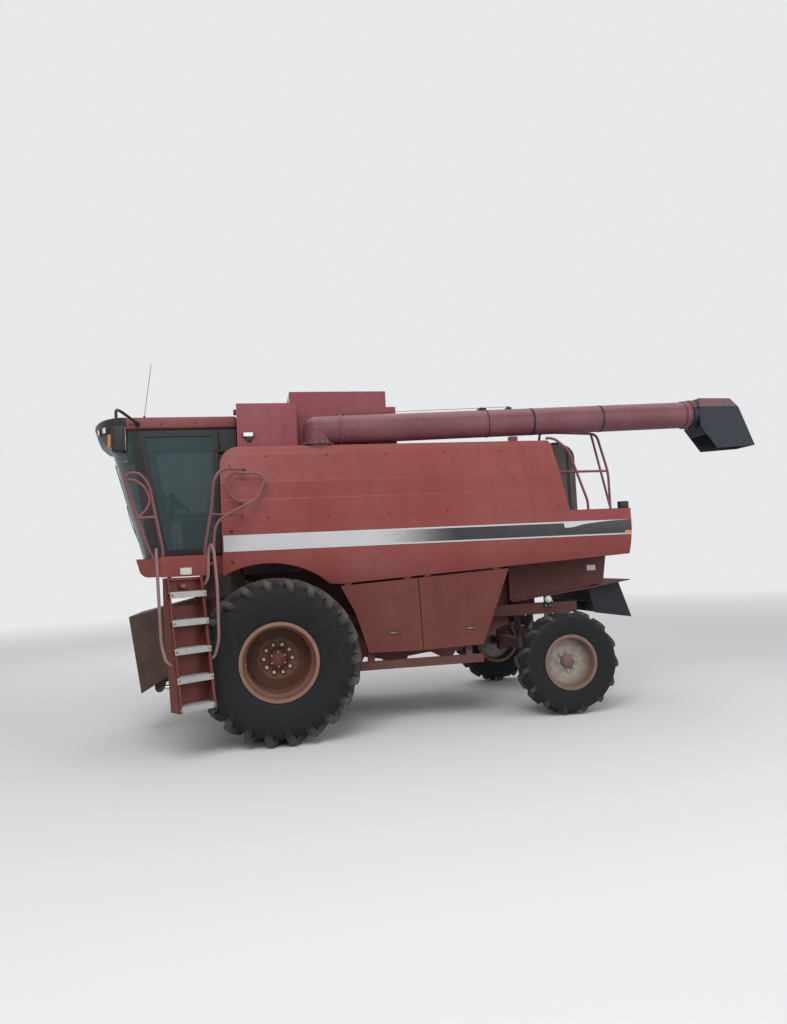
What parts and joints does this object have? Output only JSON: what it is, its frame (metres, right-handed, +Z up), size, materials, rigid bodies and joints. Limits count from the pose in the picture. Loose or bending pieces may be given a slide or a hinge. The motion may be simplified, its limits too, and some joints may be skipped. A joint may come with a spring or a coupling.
{
  "type": "combine harvester",
  "caption": "Self-propelled combine harvester without header: cab, grain tank, folding unloading auger, feeder house, swinging ladder, large driven front wheels and steered rear wheels.",
  "frame": {"origin": "middle of the ground-level box under the whole machine", "axes": "+X forward along the machine, +Y to its left, +Z up"},
  "size_m": [8.269, 4.2822, 4.4379],
  "materials": {
    "body_paint": "weathered gloss paint",
    "dark_paint": "satin black paint",
    "frame_paint": "dusty dull paint",
    "stripe": "silver fading to black",
    "rim_rust": "rusty paint",
    "rim_pale": "faded pale paint",
    "tyre_rubber": "dusty",
    "window": "tinted",
    "black_rubber": "matt",
    "machine_steel": "worn",
    "chrome_rod": "polished",
    "seat_fabric": "worn",
    "lamp_glass": "clear",
    "cast": "painted casting"
  },
  "bodies": {
    "root_body": {"main_frame": "frame_paint", "bulkhead": "body_paint", "front_axle": "cast", "rear_axle": "frame_paint", "engine_block": "cast", "threshing_body": "body_paint", "grain_tank": "body_paint", "tank_extension": "body_paint", "upper_panel_left": "body_paint", "upper_panel_right": "body_paint", "belt_panels": "body_paint", "stripe_bands": "stripe", "rear_deck": "body_paint", "hand_rails": "body_paint", "straw_hood": "body_paint", "straw_flap": "black_rubber", "fuel_tank": "dark_paint", "cab_base": "body_paint", "cab_frame": "dark_paint", "cab_roof": "body_paint", "cab_glass": "window", "seat": "seat_fabric", "steering_column": "dark_paint", "platform": "body_paint", "mirrors": "dark_paint", "lamps": "lamp_glass", "auger_base": "body_paint"},
    "feeder": {"feeder_house": "body_paint"},
    "barrels": {"lift_barrels": "dark_paint"},
    "rods": {"lift_rods": "chrome_rod"},
    "ladder_body": {"ladder": "frame_paint"},
    "door": {"cab_door": "dark_paint", "door_glass": "window"},
    "unloader": {"auger_tube": "body_paint", "spout_boot": "black_rubber"},
    "screen": {"rotary_screen": "machine_steel"},
    "shield_fl": {"shield_front_left": "body_paint"},
    "shield_rl": {"shield_rear_left": "body_paint"},
    "shield_fr": {"shield_front_right": "body_paint"},
    "shield_rr": {"shield_rear_right": "body_paint"},
    "wheel_fl": {"rim_front_left": "rim_rust", "tyre_front_left": "tyre_rubber"},
    "wheel_fr": {"rim_front_right": "rim_rust", "tyre_front_right": "tyre_rubber"},
    "steer_l": {"knuckle_left": "cast"},
    "steer_r": {"knuckle_right": "cast"},
    "tie": {"tie_rod": "machine_steel"},
    "wheel_rl": {"rim_rear_left": "rim_pale", "tyre_rear_left": "tyre_rubber"},
    "wheel_rr": {"rim_rear_right": "rim_pale", "tyre_rear_right": "tyre_rubber"}
  },
  "joints": [
    {"name": "front_left_spin", "type": "hinge", "parent": "root_body", "child": "wheel_fl", "pos_m": [2.0905, 1.30638, 0.905], "axis": [0, 1, 0], "continuous": true},
    {"name": "front_right_spin", "type": "hinge", "parent": "root_body", "child": "wheel_fr", "pos_m": [2.0905, -1.75362, 0.905], "axis": [0, 1, 0], "continuous": true},
    {"name": "steer", "type": "hinge", "parent": "root_body", "child": "steer_l", "pos_m": [-1.3665, 0.86638, 0.68], "axis": [0, 0, 1], "range_deg": [-35, 35]},
    {"name": "steer_right", "type": "hinge", "parent": "root_body", "child": "steer_r", "pos_m": [-1.3665, -1.31362, 0.68], "axis": [0, 0, 1], "range_deg": [-35, 35]},
    {"name": "tie_turn", "type": "hinge", "parent": "steer_l", "child": "tie", "pos_m": [-1.5665, 0.86638, 0.88], "axis": [0, 0, 1], "range_deg": [-36, 36]},
    {"name": "rear_left_spin", "type": "hinge", "parent": "steer_l", "child": "wheel_rl", "pos_m": [-1.3665, 1.18638, 0.6225], "axis": [0, 1, 0], "continuous": true},
    {"name": "rear_right_spin", "type": "hinge", "parent": "steer_r", "child": "wheel_rr", "pos_m": [-1.3665, -1.63362, 0.6225], "axis": [0, 1, 0], "continuous": true},
    {"name": "feeder_lift", "type": "hinge", "parent": "root_body", "child": "feeder", "pos_m": [2.4905, -0.22362, 1.45], "axis": [0, -1, 0], "range_deg": [-10, 18]},
    {"name": "barrel_turn", "type": "hinge", "parent": "root_body", "child": "barrels", "pos_m": [2.1305, -0.22362, 0.47], "axis": [0, -1, 0], "range_deg": [-7.78, 13.21]},
    {"name": "rod_slide", "type": "slide", "parent": "barrels", "child": "rods", "axis": [0.9986, 0, 0.0521], "range_m": [-0.1724, 0.3024]},
    {"name": "auger_swing", "type": "hinge", "parent": "root_body", "child": "unloader", "pos_m": [1.5205, 1.02638, 3.37], "axis": [0, 0, -1], "range_deg": [0, 95]},
    {"name": "door_swing", "type": "hinge", "parent": "root_body", "child": "door", "pos_m": [2.6845, 0.66668, 2.9], "axis": [0, 0, 1], "range_deg": [0, 70]},
    {"name": "ladder_swing", "type": "hinge", "parent": "root_body", "child": "ladder_body", "pos_m": [3.2105, 1.59638, 1.87], "axis": [0, 0, -1], "range_deg": [0, 120]},
    {"name": "shield_front_left_swing", "type": "hinge", "parent": "root_body", "child": "shield_fl", "pos_m": [1.33979, 1.17238, 1.68602], "axis": [0.9987, 0, -0.0508], "range_deg": [0, 75]},
    {"name": "shield_rear_left_swing", "type": "hinge", "parent": "root_body", "child": "shield_rl", "pos_m": [1.33979, 1.17238, 1.68602], "axis": [0.9987, 0, -0.0508], "range_deg": [0, 75]},
    {"name": "shield_front_right_swing", "type": "hinge", "parent": "root_body", "child": "shield_fr", "pos_m": [1.33979, -1.61962, 1.68602], "axis": [-0.9987, 0, 0.0508], "range_deg": [0, 75]},
    {"name": "shield_rear_right_swing", "type": "hinge", "parent": "root_body", "child": "shield_rr", "pos_m": [1.33979, -1.61962, 1.68602], "axis": [-0.9987, 0, 0.0508], "range_deg": [0, 75]},
    {"name": "screen_spin", "type": "hinge", "parent": "root_body", "child": "screen", "pos_m": [-0.7095, -1.66862, 2.85], "axis": [0, 1, 0], "continuous": true}
  ],
  "couplings": [
    {"joint": "steer_right", "follows": "steer", "ratio": 1},
    {"joint": "tie_turn", "follows": "steer", "ratio": -1},
    {"joint": "barrel_turn", "follows": "feeder_lift", "ratio": 0.6781},
    {"joint": "rod_slide", "follows": "feeder_lift", "m_per_rad": 0.9307}
  ]
}
